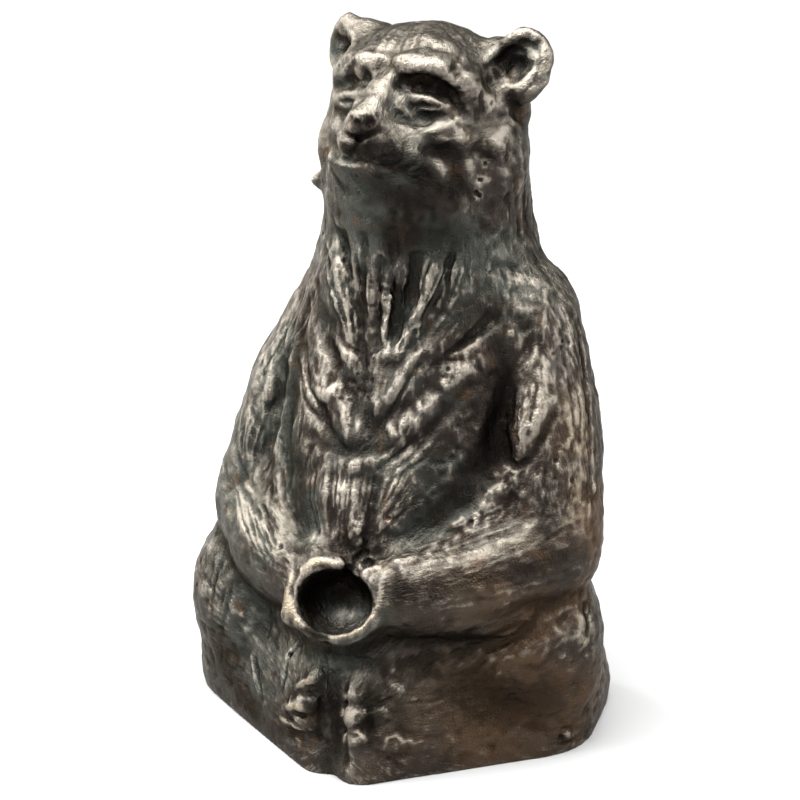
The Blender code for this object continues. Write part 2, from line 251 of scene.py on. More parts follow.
class Skin:
    """The skin as arrays in millimetres. Strokes gather in push until done() moves the points."""

    def __init__(self, mesh, stage):
        self.mesh = mesh
        self.count = len(mesh.vertices)
        self.faces = [tuple(p.vertices) for p in mesh.polygons]
        ends = np.empty(len(mesh.edges) * 2, np.int32)
        mesh.edges.foreach_get("vertices", ends)
        self.ends = ends.reshape(-1, 2)
        self.degree = np.bincount(self.ends.ravel(), minlength=self.count)[:, None]
        self.eye, right, up, forward = camera_place(stage)
        self.axes = (right, up, forward)
        self.half = math.tan(stage.field / 2)
        self.low, self.high = np.array(CAD_LOW) / MM, np.array(CAD_HIGH) / MM
        self.read()

    def read(self):
        self.points = read_rows(self.mesh, "co").astype(float) / MM
        self.normals = read_rows(self.mesh, "normal").astype(float)
        self.push = np.zeros(self.count)
        self.bvh = BVHTree.FromPolygons(self.points.tolist(), self.faces)
        self.near = KDTree(self.count)
        for i, point in enumerate(self.points):
            self.near.insert(point, i)
        self.near.balance()
        self.waver = np.array([noise.noise(Vector(p) / WAVER_SIZE) for p in self.points])

    def seen(self, across, down):
        """The point of the skin that the main view shows at a place, or just inside the outline."""
        right, up, forward = self.axes
        half = VIEW_SIZE / 2
        for nudge in range(NUDGES):
            inward = across - math.copysign(nudge, across - half)
            aside = right * ((inward - half) / half * self.half)
            aim = forward + aside + up * ((half - down) / half * self.half)
            hit = self.bvh.ray_cast(self.eye / MM, aim.normalized())[0]
            if hit is not None:
                return np.array(hit)
        raise RuntimeError(f"the view shows no skin at {across}, {down}")

    def along(self, path, width):
        """Points near a path, each with its distance from it and its share of the way along."""
        count = max(len(path) - 1, 1)
        found = set()
        for i in range(count):
            start, end = path[i], path[min(i + 1, len(path) - 1)]
            reach = np.linalg.norm(end - start) / 2 + width
            found.update(hit[1] for hit in self.near.find_range((start + end) / 2, reach))
        ids = np.fromiter(found, int)
        places = self.points[ids]
        nearest = np.full(len(ids), np.inf)
        share = np.zeros(len(ids))
        for i in range(count):
            start = path[i]
            span = path[min(i + 1, len(path) - 1)] - start
            t = np.clip((places - start) @ span / max(span @ span, 1e-9), 0, 1)
            gap = np.linalg.norm(places - start - t[:, None] * span, axis=1)
            closer = gap < nearest
            nearest[closer] = gap[closer]
            share[closer] = (i + t[closer]) / count
        return ids, nearest, share

    def stroke(self, path, width, depth, into=None):
        """A groove along the path that fades at both ends. A negative depth is a ridge."""
        ids, gap, share = self.along(path, width)
        if not len(ids):
            return
        gap = gap * (1 + WAVER * self.waver[ids])
        reach = np.clip(1 - (gap / width) ** 2, 0, 1) ** 2
        fade = 1.0 if len(path) == 1 else np.sqrt(np.sin(np.pi * (0.06 + 0.88 * share)))
        target = self.push if into is None else into
        target[ids] -= depth * reach * fade

    def marks(self, places, width, depth, into=None):
        """A stroke through places of the main view."""
        self.stroke([self.seen(*place) for place in places], width, depth, into)

    def average(self, values, rounds):
        """Evens values out over the skin."""
        for _ in range(rounds):
            total = np.zeros_like(values)
            np.add.at(total, self.ends[:, 0], values[self.ends[:, 1]])
            np.add.at(total, self.ends[:, 1], values[self.ends[:, 0]])
            values = 0.5 * values + 0.5 * total / self.degree
        return values

    def rise(self, rounds):
        """How far each point stands above the skin round it, in millimetres."""
        return ((self.points - self.average(self.points.copy(), rounds)) * self.normals).sum(axis=1)

    def done(self):
        """Moves the points, inside the box of the solid, and reads the skin again."""
        moved = self.points + self.normals * self.push[:, None]
        moved[self.points[:, 2] < BASE, 2] = 0
        move_to(self.mesh, np.clip(moved, self.low, self.high) * MM)
        self.read()


def ramp(value, start, end):
    """How far a value has come from start to end, from 0 to 1."""
    return min(max((value - start) / (end - start), 0), 1)


def areas(point):
    """How far a place belongs to the head, to a forearm and to a leg, each from 0 to 1."""
    x, y, z = point
    head = ramp(z, 222, 244)
    arm = ramp(z, 62, 72) * ramp(z, 112, 98)
    arm *= ramp(y, 12, -12) * ramp(abs(x), 14, 24)
    leg = ramp(z, 66, 54)
    return head, arm, leg


# How much the fur closes in down the front and spreads down the back, 50 mm from the middle, and
# how far back the legs' fur still runs towards the toes.
CLOSING = -0.25
SPREADING = 0.1
HAUNCH = 25


def lie_of_fur(point):
    """The way the fur lies: back from the nose, down the body, forward along the limbs."""
    x, y, z = point
    head, arm, leg = areas(point)
    down = Vector((CLOSING * x / 50 if y < 0 else SPREADING * x / 50, 0, -1))
    way = down * (1 - head) * (1 - arm) * (1 - leg)
    way += (point - NOSE).normalized() * head
    way += (CUP_MOUTH - point).normalized() * arm
    if y < HAUNCH:
        way += (TOES - point).normalized() * leg
    else:
        way += Vector((0.5 if x > 0 else -0.5, -0.2, -0.8)) * leg
    return way.normalized()


# Strokes of the large forms and the locks. Each row is width and depth in tenths of a millimetre
# and then the places in the main view, as x, y, x, y. A negative depth is a ridge.
BROWS_AND_FOREHEAD = (
    (40, -4, 402, 66, 415, 62, 430, 62, 443, 67), (45, 16, 404, 80, 420, 77, 436, 80, 448, 88),
    (42, 17, 448, 59, 455, 69, 461, 82), (40, -9, 398, 57, 414, 52, 432, 52, 448, 58),
    (36, -7, 404, 72, 420, 68, 436, 70, 447, 76), (34, -7, 358, 52, 372, 46, 386, 48),
    (80, -9, 390, 48, 412, 40, 440, 42, 456, 52), (20, 8, 463, 50, 458, 60, 452, 70),
    (40, -5, 356, 60, 366, 52, 380, 54), (32, -10, 358, 70, 362, 80), (36, 10, 350, 82, 352, 88),
    (22, 8, 366, 70, 369, 82), (60, -6, 458, 84, 468, 82, 475, 91),
    (30, 12, 450, 92, 458, 104, 464, 112), (65, -9, 484, 100, 494, 106), (18, 9, 481, 92, 482, 112),
    (30, 6, 472, 60, 488, 74, 494, 90),
)
MUZZLE = (
    (45, -8, 387, 74, 381, 88, 375, 100, 369, 109), (40, 12, 398, 86, 393, 100, 389, 112),
    (34, 10, 367, 84, 363, 96, 357, 106), (30, -2, 350, 108, 361, 105, 374, 108),
    (30, 6, 352, 113, 363, 112, 373, 114), (32, -15, 350, 128, 361, 131, 373, 128),
    (16, -4, 351, 114, 362, 112, 375, 114), (24, 20, 355, 124), (26, 22, 371, 122),
    (18, 15, 349, 135, 358, 139, 367, 136, 379, 130), (30, 5, 401, 132, 406, 146, 402, 158),
    (20, 5, 380, 130, 390, 132, 398, 138), (20, 13, 358, 136, 357, 147, 352, 157),
    (17, 14, 343, 159, 352, 162, 366, 161, 376, 160), (18, -8, 343, 164, 352, 166, 367, 165),
    (20, 6, 384, 164, 394, 173), (16, 5, 372, 146, 378, 152), (14, 4, 384, 144, 388, 150),
)
EYES = (
    (20, -5, 412, 102, 422, 97, 434, 98, 444, 106), (45, -15, 403, 108, 409, 115, 416, 120),
    (50, -12, 398, 95, 402, 107, 407, 117), (13, 9, 420, 105, 428, 106, 438, 107),
    (15, -4, 420, 109, 430, 110, 440, 110), (28, 13, 420, 115, 430, 117, 440, 114),
    (24, 7, 412, 92, 424, 89, 438, 92), (18, -8, 340, 97, 347, 94, 354, 97),
    (13, 9, 341, 100, 352, 101), (15, -6, 341, 104, 351, 105),
)
CHEEKS = (
    (34, -12, 425, 130, 440, 124, 457, 119, 470, 119), (30, 9, 428, 138, 446, 133, 462, 130),
    (50, 11, 424, 150, 440, 152, 452, 150), (22, -11, 420, 158, 412, 174),
    (32, -9, 430, 162, 440, 168, 438, 182), (34, 11, 423, 169, 428, 178),
    (24, 8, 408, 178, 424, 184, 436, 186), (42, -8, 455, 130, 463, 140),
    (40, -9, 478, 138, 492, 136, 504, 128), (30, 11, 478, 146, 484, 154, 492, 158),
    (40, -8, 494, 144, 502, 148), (50, -6, 466, 150, 470, 168, 474, 184),
    (40, 10, 452, 176, 462, 184, 470, 196), (26, -9, 509, 119, 518, 126, 520, 150, 518, 190),
    (34, 9, 506, 132, 509, 160, 507, 200), (24, -5, 398, 160, 404, 166),
    (30, -9, 329, 158, 334, 163, 340, 165), (30, -8, 384, 164, 394, 161, 403, 153),
)
EARS = (
    (30, -5, 494, 42, 511, 34, 530, 30, 545, 40, 551, 60, 545, 82, 530, 99),
    (90, 28, 508, 48, 516, 58), (22, 8, 537, 42, 541, 60, 534, 82, 521, 93),
    (34, -8, 506, 90, 520, 86, 531, 76), (45, 15, 510, 100, 517, 112), (30, 8, 494, 66, 500, 80),
    (50, 20, 336, 38, 341, 60), (20, -9, 350, 30, 355, 44, 352, 60, 343, 76),
    (20, 8, 347, 34, 350, 46, 347, 60),
)
NECK = (
    (24, 7, 513, 165, 517, 205, 522, 238), (20, 5, 523, 160, 526, 200, 529, 225),
    (26, 8, 327, 150, 333, 172, 342, 192), (18, -5, 345, 170, 352, 182, 360, 194),
    (22, 6, 330, 210, 340, 236, 348, 256), (18, -5, 323, 225, 330, 250, 336, 262),
    (24, 12, 345, 246, 349, 258), (40, 7, 420, 200, 424, 230, 420, 258),
    (30, 6, 470, 215, 486, 230, 500, 232), (30, -6, 480, 246, 496, 236, 505, 226),
    (24, 5, 500, 262, 520, 270),
)
RUFF = (
    (80, -15, 334, 254, 342, 282, 350, 308, 352, 328),
    (18, -7, 328, 258, 333, 285, 341, 310, 348, 332), (14, 10, 352, 312, 354, 332),
    (12, 8, 346, 318, 348, 332), (32, 10, 360, 268, 362, 300, 362, 326),
    (30, -12, 368, 262, 369, 284, 371, 308, 373, 331),
    (42, 30, 380, 262, 379, 290, 377, 318, 375, 346),
    (40, -18, 398, 262, 393, 285, 387, 310, 382, 334), (14, 8, 404, 272, 398, 296, 391, 316),
    (15, 9, 356, 256, 358, 280, 359, 312), (15, 9, 386, 262, 385, 290, 381, 326),
    (16, 10, 431, 262, 424, 286, 413, 312), (16, 9, 454, 256, 446, 280, 432, 306),
    (55, 18, 420, 262, 412, 290, 400, 316, 391, 342),
    (38, -20, 443, 254, 436, 275, 424, 300, 410, 325, 397, 353), (18, -9, 447, 272, 440, 296),
    (18, -9, 421, 318, 418, 335), (12, 7, 404, 336, 399, 350), (15, -7, 456, 268, 450, 294),
    (14, -6, 463, 268, 456, 290), (45, 12, 452, 282, 440, 310, 428, 334),
    (45, -8, 486, 308, 470, 324, 450, 338, 427, 350, 404, 368),
    (40, -8, 496, 330, 478, 346, 454, 354), (18, 7, 480, 334, 462, 346, 446, 354),
    (26, -8, 388, 344, 386, 358), (30, -4, 478, 300, 488, 306),
)
CHEST = (
    (46, -14, 312, 366, 315, 385, 322, 397, 334, 392, 342, 377, 346, 362),
    (34, 8, 328, 372, 330, 386), (15, 7, 299, 362, 301, 386, 310, 408, 322, 420),
    (15, -7, 304, 360, 306, 386, 315, 406, 326, 414), (13, 6, 309, 362, 311, 388, 319, 403),
    (38, -10, 330, 330, 338, 344, 352, 358, 364, 374), (22, 7, 340, 336, 350, 348, 364, 354),
    (55, 11, 350, 374, 358, 386, 366, 398), (24, -10, 341, 398, 343, 418, 348, 436),
    (20, 8, 352, 408, 354, 430), (24, -8, 362, 404, 366, 422), (22, -9, 378, 404, 374, 424),
    (32, -12, 384, 412, 394, 390, 404, 374, 420, 352), (16, 8, 392, 412, 402, 392, 414, 374),
    (20, -8, 400, 402, 412, 380, 430, 360), (36, -11, 428, 374, 448, 367, 468, 370, 482, 378),
    (34, 10, 430, 384, 442, 394, 440, 406), (18, -7, 444, 382, 446, 398),
    (24, -8, 416, 396, 420, 412), (28, -10, 388, 424, 396, 442), (26, -10, 404, 416, 401, 444),
    (16, 8, 396, 424, 399, 436), (20, -7, 418, 424, 420, 438),
    (40, 13, 306, 432, 328, 444, 350, 454, 376, 452, 398, 446), (24, -8, 320, 436, 336, 446),
    (70, -11, 326, 476, 350, 462, 372, 458, 396, 462),
)
SHOULDERS = (
    (36, -7, 505, 286, 524, 279, 541, 284), (130, 16, 494, 400, 488, 446, 456, 496, 418, 536),
    (60, 8, 474, 380, 492, 392), (24, -4, 528, 296, 539, 300),
    (16, -6, 545, 292, 545, 318, 541, 336), (45, 10, 512, 318, 526, 326, 540, 318),
    (60, -7, 562, 308, 570, 330, 574, 352), (60, -17, 518, 384, 520, 410, 518, 436, 516, 456),
    (18, -7, 508, 392, 510, 424, 514, 458), (18, -7, 534, 386, 528, 412, 521, 442),
    (20, 11, 507, 461, 517, 467, 527, 460), (26, 9, 538, 384, 533, 406, 527, 432),
    (32, -9, 550, 396, 540, 420, 527, 446), (24, 8, 556, 410, 546, 434, 534, 452),
    (26, -7, 538, 344, 532, 362, 524, 372), (32, -6, 520, 340, 514, 354),
    (24, -7, 568, 420, 572, 436, 566, 446),
    (18, -6, 571, 300, 583, 345, 590, 400, 592, 470, 588, 528),
    (18, 6, 577, 320, 583, 360, 587, 410), (30, -14, 592, 490),
    (30, -7, 494, 462, 512, 474, 520, 492), (20, -6, 505, 494, 512, 488, 518, 494),
    (50, -9, 248, 416, 250, 434, 246, 452), (45, 9, 264, 412, 276, 404, 284, 398),
    (45, -8, 272, 450, 262, 470, 252, 480), (24, -6, 284, 380, 288, 420, 286, 450),
    (34, 6, 296, 320, 290, 350, 280, 372), (30, 5, 246, 380, 236, 410),
    (50, -9, 250, 480, 268, 500, 284, 528), (40, -7, 238, 500, 244, 530, 262, 552),
    (20, 6, 240, 484, 254, 508, 272, 530),
)
CUP_AND_PAWS = (
    (30, -6, 290, 578, 286, 592, 289, 608, 296, 620), (16, 5, 297, 570, 292, 586, 293, 604),
    (26, -7, 303, 568, 318, 561, 336, 563), (20, 5, 312, 556, 324, 553, 338, 556),
    (44, -26, 359, 526, 360, 540, 360, 556), (30, 20, 345, 558, 348, 568, 350, 580),
    (28, -13, 361, 567), (26, -9, 376, 567), (15, 9, 368, 560, 369, 574),
    (32, 12, 315, 624, 314, 640), (15, 7, 285, 584, 299, 588), (14, 6, 286, 604, 301, 606),
    (14, 6, 294, 618, 304, 614), (26, -9, 356, 574, 358, 562, 368, 557, 380, 562),
    (22, -5, 384, 572, 382, 590, 378, 606), (24, -7, 332, 637, 348, 636, 360, 630, 370, 618),
    (15, 12, 331, 634, 330, 645, 329, 656), (28, 8, 390, 562, 397, 572, 398, 586),
    (20, 6, 300, 630, 312, 636, 324, 638), (26, -6, 392, 562, 404, 560, 414, 558),
    (26, 8, 282, 540, 292, 548, 304, 552),
)
LEGS = (
    (13, 14, 287, 660, 292, 652, 296, 646, 302, 638), (14, 9, 282, 690, 285, 676, 287, 664),
    (40, -7, 228, 604, 238, 612), (40, -6, 244, 622, 250, 634),
    (26, -8, 226, 632, 236, 642, 246, 646), (30, 6, 232, 620, 240, 628),
    (15, -7, 251, 656, 254, 676, 260, 700), (13, 5, 255, 658, 258, 680, 263, 698),
    (40, -15, 568, 735), (18, 12, 561, 738), (14, 9, 571, 733),
    (50, -7, 576, 604, 580, 625, 578, 648), (24, 6, 586, 604, 588, 630),
    (26, -7, 480, 690, 492, 684, 500, 670), (20, 6, 488, 700, 498, 692),
    (20, -5, 446, 736, 456, 744), (40, 9, 400, 664, 450, 656, 510, 642, 560, 622, 590, 604),
    (26, 5, 200, 560, 214, 590, 240, 620, 262, 640),
)
TOES_AND_CLAWS = (
    (50, -10, 305, 685), (50, -11, 293, 707), (46, -10, 353, 698), (50, -12, 348, 715),
    (50, -9, 355, 740), (50, -8, 394, 743), (26, -13, 296, 688, 306, 682, 316, 680),
    (28, -13, 286, 708, 296, 704, 304, 708), (16, -11, 282, 718, 298, 728, 312, 730),
    (18, 9, 296, 712, 308, 716), (18, 8, 308, 692, 318, 694), (14, 7, 312, 684, 313, 690),
    (22, 7, 290, 730, 302, 738), (22, -12, 344, 697, 362, 694),
    (26, -13, 340, 715, 348, 711, 358, 712), (16, -11, 343, 744, 346, 734, 358, 731, 367, 741),
    (18, 9, 348, 706, 364, 706), (18, 9, 346, 728, 364, 728), (30, -9, 376, 712, 392, 708),
    (14, 9, 372, 704, 382, 696), (18, -7, 386, 716, 400, 722),
    (12, 12, 368, 711, 380, 704, 392, 698), (18, -9, 384, 748, 386, 738, 396, 735, 404, 742),
    (22, -8, 408, 738, 414, 744), (20, 8, 372, 722, 374, 742),
    (34, 7, 332, 676, 334, 700, 336, 730, 338, 760), (22, 14, 369, 698, 370, 720, 370, 746),
    (24, 10, 322, 682, 322, 706, 320, 738), (20, 8, 347, 704, 364, 705),
    (20, 8, 345, 730, 364, 729), (20, 8, 300, 693, 318, 696), (20, 8, 292, 712, 314, 718),
)
PITS_SEEN = (
    (12, 10, 365, 30), (12, 10, 485, 163), (12, 10, 480, 180), (14, 15, 477, 193),
    (13, 13, 480, 196), (12, 12, 563, 341), (12, 12, 570, 342), (11, 9, 399, 188),
    (18, 15, 345, 260), (11, 8, 484, 492), (13, 9, 472, 522), (18, 14, 280, 545), (13, 9, 281, 438),
    (12, 8, 556, 461), (12, 8, 392, 302), (14, 14, 296, 650), (14, 14, 291, 655),
    (14, 12, 372, 708), (13, 10, 372, 380), (13, 11, 362, 392), (12, 10, 354, 382),
    (12, 9, 368, 398), (11, 9, 358, 374),
)

# The locks of the ruff stand out more than they are written, those of the chest less.
RUFF_SHARE = 1.35
CHEST_SHARE = 0.85

# Rows of like strokes: their number, width and depth, then three places on the first stroke and
# three on the last.
HATCHES = (
    (10, 12, 5, 312, 470, 308, 500, 318, 532, 352, 462, 350, 500, 345, 534),
    (12, 12, 4.5, 362, 466, 360, 500, 352, 536, 436, 486, 408, 510, 376, 540),
    (10, 13, 4.5, 508, 500, 470, 518, 436, 534, 524, 530, 470, 548, 412, 566),
    (6, 15, 4, 540, 540, 480, 566, 420, 586, 560, 580, 500, 596, 430, 606),
    (5, 14, 6, 240, 500, 246, 530, 258, 556, 262, 500, 268, 524, 276, 546),
    (5, 12, 6, 246, 418, 240, 436, 242, 452, 266, 420, 258, 440, 254, 456),
    (5, 16, 5, 308, 285, 290, 325, 262, 372, 318, 290, 306, 330, 284, 366),
    (5, 11, 5, 326, 262, 338, 300, 347, 328, 344, 268, 350, 296, 356, 318),
    (3, 10, 5, 392, 268, 388, 290, 380, 322, 404, 268, 397, 290, 390, 314),
    (3, 10, 5, 436, 276, 424, 304, 404, 338, 446, 262, 434, 292, 412, 330),
    (5, 10, 5, 514, 396, 514, 424, 515, 450, 530, 394, 524, 422, 519, 446),
    (8, 13, 5, 380, 28, 368, 40, 360, 54, 428, 26, 420, 36, 416, 48),
    (5, 13, 4, 436, 24, 450, 36, 460, 50, 470, 34, 484, 48, 490, 62),
    (9, 16, 4.5, 500, 640, 470, 668, 430, 700, 560, 660, 520, 700, 470, 730),
    (5, 13, 4, 404, 690, 430, 690, 460, 676, 404, 716, 440, 712, 480, 700),
    (6, 15, 4.5, 386, 420, 370, 440, 350, 452, 440, 440, 420, 462, 396, 478),
    (7, 13, 4.5, 456, 300, 444, 320, 430, 340, 494, 316, 476, 336, 456, 350),
    (5, 16, 4, 214, 520, 206, 560, 204, 600, 236, 570, 226, 610, 222, 660),
    (4, 14, 4, 566, 360, 572, 400, 572, 440, 584, 360, 590, 400, 590, 440),
)

# Places where the colour of the bronze changes. Each row is width and strength, in tenths, and then
# the places. The first table holds bright wear and painted highlights, the second golden wear and
# painted golden highlights, the third painted shade, the fourth green-grey patina.
# Bright wear on the high places, and painted highlights on the face, the locks, the toes and the
# lit wall inside the cup.
RUBBED_AND_HIGHLIT = (
    (30, 9, 299, 686, 314, 681), (32, 9, 288, 708, 302, 706), (24, 9, 345, 698, 361, 695),
    (32, 10, 342, 715, 354, 712), (18, 9, 343, 744, 346, 734, 358, 731, 367, 741),
    (18, 8, 384, 747, 386, 738, 396, 735, 405, 742), (40, 4, 380, 724, 394, 716),
    (65, 10, 400, 46, 425, 39, 448, 45, 458, 54), (45, 8, 374, 52, 388, 46, 400, 52),
    (35, 8, 358, 58, 368, 55), (46, 10, 404, 67, 418, 63, 432, 62, 446, 65),
    (24, 10, 355, 68, 358, 74, 364, 80), (44, 6, 386, 78, 380, 92, 375, 104),
    (24, 9, 352, 112, 364, 110, 378, 111, 394, 108), (45, 10, 455, 80, 464, 86, 472, 94, 478, 85),
    (45, 9, 482, 98, 490, 102, 498, 107), (15, 7, 420, 99, 432, 98, 444, 104),
    (26, 10, 428, 130, 440, 125, 453, 120), (42, 9, 455, 128, 462, 135, 460, 142),
    (38, 11, 486, 141, 498, 140, 506, 131, 512, 122), (40, 6, 396, 127, 406, 128, 416, 136),
    (18, 7, 379, 127, 366, 131, 359, 138), (17, 13, 345, 164, 354, 165, 366, 165),
    (60, 11, 470, 168, 476, 176, 484, 184, 488, 192), (20, 9, 466, 156, 471, 168),
    (22, 9, 438, 163, 445, 172, 443, 182), (14, 8, 424, 159, 414, 176), (20, 9, 327, 148, 333, 158),
    (22, 9, 321, 184, 329, 193), (26, 10, 504, 38, 514, 32, 526, 31),
    (24, 9, 543, 46, 541, 62, 530, 78, 512, 87, 503, 86), (34, 7, 476, 46, 484, 43, 492, 41),
    (32, 8, 343, 17, 356, 19, 366, 24), (18, 5, 513, 165, 517, 205, 520, 232),
    (40, 8, 344, 290, 350, 306, 351, 326), (34, 8, 384, 300, 386, 330, 384, 352),
    (40, 8, 440, 290, 426, 318, 400, 350), (50, 3.5, 484, 306, 462, 322, 438, 342),
    (60, 10, 318, 372, 322, 388, 330, 396), (60, 7, 420, 386, 440, 378, 474, 372),
    (80, 8, 340, 476, 346, 496, 352, 520), (60, 7, 396, 400, 412, 392, 424, 404),
    (70, 5, 398, 470, 416, 480, 430, 490), (50, 7, 505, 286, 526, 280, 545, 292),
    (60, 9, 540, 344, 548, 376, 540, 410, 526, 442), (80, 4, 296, 300, 274, 344, 256, 392),
    (90, 7, 232, 496, 250, 524, 274, 546), (26, 4, 304, 562, 318, 560, 334, 562),
    (70, 8, 440, 534, 480, 518, 528, 508), (30, 6, 361, 567, 376, 566, 384, 572),
    (60, 3, 203, 560, 214, 590, 232, 618), (45, 9, 564, 312, 571, 338, 573, 362),
    (60, 8, 344, 614, 358, 608, 366, 598), (70, 8, 330, 612, 344, 616, 356, 606),
    (60, 6, 238, 392, 244, 420, 248, 448),
)
# Golden wear on the rim of the cup, and painted golden highlights and glints along the bear's left
# side, on the legs, toes, ear, brow and cheek.
GOLDEN_WEAR_AND_HIGHLIGHTS = (
    (34, 9, 291, 578, 286, 596, 290, 614, 300, 626), (28, 7, 303, 568, 318, 561, 336, 563),
    (30, 8, 358, 566, 368, 560, 380, 568), (24, 5, 382, 588, 380, 600, 374, 614),
    (26, 8, 330, 639, 348, 637, 362, 629, 372, 616),
    (110, 8, 578, 400, 582, 440, 584, 480, 582, 540), (80, 4, 560, 390, 566, 420, 570, 450),
    (30, 6, 322, 184, 330, 200, 336, 214), (30, 6, 330, 40, 334, 60, 341, 72),
    (30, 6, 352, 62, 356, 70, 362, 78), (20, 9, 298, 687, 306, 683, 315, 681),
    (22, 9, 286, 709, 296, 705, 303, 709), (13, 10, 282, 718, 298, 728, 312, 730),
    (15, 9, 345, 697, 360, 694), (22, 10, 341, 715, 348, 712),
    (12, 9, 343, 744, 346, 734, 358, 731, 367, 741),
    (13, 8, 384, 747, 386, 738, 396, 735, 405, 742), (160, 5, 480, 650, 500, 690, 470, 720),
    (90, 5, 560, 500, 572, 530, 560, 560), (80, 6, 580, 600, 588, 640, 590, 690),
)
# Painted shade: darker patina and less sheen in the creases, under the brow and muzzle, on the
# throat, between the arms and the body, inside the cup and between the toes.
SHADED = (
    (65, 8, 346, 144, 360, 151, 378, 156, 392, 160), (65, 6, 410, 162, 426, 172, 444, 192),
    (45, 5, 456, 168, 464, 188), (80, 6, 492, 298, 470, 316, 446, 332, 426, 346),
    (90, 5, 440, 404, 466, 398, 486, 388), (50, 11, 404, 85, 420, 81, 438, 84, 450, 96, 457, 110),
    (26, 10, 420, 114, 432, 117, 442, 114), (30, 6, 400, 98, 408, 104), (30, 6, 328, 160, 338, 165),
    (40, 8, 378, 165, 392, 162, 403, 154), (36, 7, 450, 64, 464, 70),
    (65, 11, 366, 142, 382, 146, 398, 152), (36, 6, 345, 148, 350, 154),
    (60, 11, 354, 125, 364, 126, 374, 123), (65, 11, 430, 142, 444, 148, 456, 160),
    (36, 9, 418, 172, 428, 176), (50, 10, 450, 186, 462, 194),
    (120, 8, 350, 176, 378, 190, 410, 200, 440, 210),
    (130, 8, 366, 222, 400, 236, 440, 238, 470, 240), (60, 5, 482, 214, 492, 238),
    (80, 13, 498, 66, 508, 52, 520, 52), (50, 11, 508, 94, 514, 104, 518, 116),
    (40, 7, 334, 36, 338, 56), (30, 6, 518, 126, 522, 150),
    (80, 10, 496, 336, 504, 380, 504, 420, 498, 456),
    (140, 13, 500, 396, 490, 440, 460, 492, 424, 534), (90, 6, 448, 430, 430, 470, 410, 512),
    (70, 9, 302, 330, 294, 380, 292, 430, 300, 470, 308, 524, 300, 546),
    (80, 9, 318, 440, 346, 450, 384, 446), (60, 7, 360, 400, 372, 420, 380, 436),
    (80, 9, 300, 640, 332, 652, 380, 642, 426, 622), (70, 7, 470, 616, 530, 602, 580, 590),
    (240, 8, 430, 690, 500, 700, 570, 690), (50, 9, 336, 680, 338, 720, 338, 764),
    (120, 5, 214, 650, 244, 700, 280, 744), (70, 8, 250, 470, 242, 478, 236, 480),
    (60, 6, 312, 588, 322, 582), (80, 9, 312, 666, 320, 690, 316, 716, 310, 740),
    (80, 9, 366, 684, 370, 704, 372, 724, 372, 746), (20, 8, 346, 705, 362, 704),
    (26, 8, 344, 726, 362, 725), (20, 7, 290, 696, 304, 695), (80, 6, 390, 700, 396, 730),
    (80, 6, 404, 592, 470, 580, 540, 566, 584, 546), (50, 4, 360, 520, 366, 540, 362, 556),
    (40, 9, 304, 624, 316, 632, 330, 636), (40, 10, 345, 556, 348, 568, 350, 580),
    (50, 6, 300, 553, 320, 549, 340, 552), (70, 6, 392, 572, 400, 590, 392, 612),
    (30, 2.5, 288, 582, 285, 600, 292, 618), (34, 3, 334, 640, 352, 637, 368, 624, 378, 604),
    (30, 6, 372, 342, 372, 362), (24, 9, 366, 262, 364, 292, 362, 320),
    (24, 9, 412, 266, 404, 292, 394, 322),
)
GREENISH = (
    (80, 10, 346, 84, 362, 92, 350, 110), (60, 10, 398, 88, 400, 106, 412, 118, 430, 124),
    (120, 9, 350, 190, 360, 220, 366, 246), (80, 2, 430, 190, 430, 220, 428, 244),
    (60, 8, 478, 40, 490, 46), (60, 9, 528, 66, 534, 56), (50, 9, 336, 44, 338, 62),
    (120, 9, 292, 330, 284, 380, 290, 440, 300, 500, 312, 540),
    (90, 8, 400, 540, 440, 520, 480, 490), (90, 9, 330, 600, 360, 610),
    (180, 8, 250, 600, 262, 640, 280, 680), (140, 7, 240, 400, 226, 470, 214, 560),
    (100, 6, 500, 240, 540, 270, 566, 300), (80, 8, 306, 660, 330, 660, 360, 664),
)

# Widths, depths and strengths are written in the tables so many times as large.
TENTHS = 10


def read_row(row):
    """Width, depth or strength, and places of a row of a table."""
    width, depth, *places = row
    return width / TENTHS, depth / TENTHS, list(zip(places[::2], places[1::2]))


def paint(skin, table):
    """How strongly each point of the skin lies in the places of a table, from 0 to 1."""
    shares = np.zeros(skin.count)
    for width, strength, places in map(read_row, table):
        skin.marks(places, width, -strength, shares)
    return np.clip(shares, 0, 1)


# How far a stroke of a row may stray sideways, in gaps between strokes, and slide, in its lengths,
# and the shares of the row's width and depth between which it lies.
STRAY = 0.3
SLIDE = 0.12
ROW_WIDTHS = (0.8, 1.3)
ROW_DEPTHS = (0.6, 1.2)


def hatch(skin, rng, first, last, number, width, depth):
    """Strokes side by side, from the first to the last, none of them quite alike."""
    for i in range(number):
        share = ramp(i + rng.uniform(-STRAY, STRAY), 0, max(number - 1, 1))
        slide = rng.uniform(-SLIDE, SLIDE)
        places = []
        for a, b in zip(first, last):
            places.append(tuple(p + (q - p) * share for p, q in zip(a, b)))
        start, end = places[0], places[-1]
        shift = [(e - s) * slide for s, e in zip(start, end)]
        moved = [(across + shift[0], down + shift[1]) for across, down in places]
        skin.marks(moved, width * rng.uniform(*ROW_WIDTHS), depth * rng.uniform(*ROW_DEPTHS))


def carve_forms(skin, strength):
    for group in (
        BROWS_AND_FOREHEAD, MUZZLE, EYES, CHEEKS, EARS, NECK, RUFF, CHEST, SHOULDERS,
        CUP_AND_PAWS, LEGS, TOES_AND_CLAWS,
    ):
        share = RUFF_SHARE if group is RUFF else CHEST_SHARE if group is CHEST else 1.0
        for width, depth, places in map(read_row, group):
            skin.marks(places, width, depth * strength * share)
    skin.done()


def carve_hatches(skin, rng, strength):
    for number, *row in HATCHES:
        width, depth, places = read_row(row)
        hatch(skin, rng, places[:3], places[3:], number, width, depth * strength)
    skin.done()


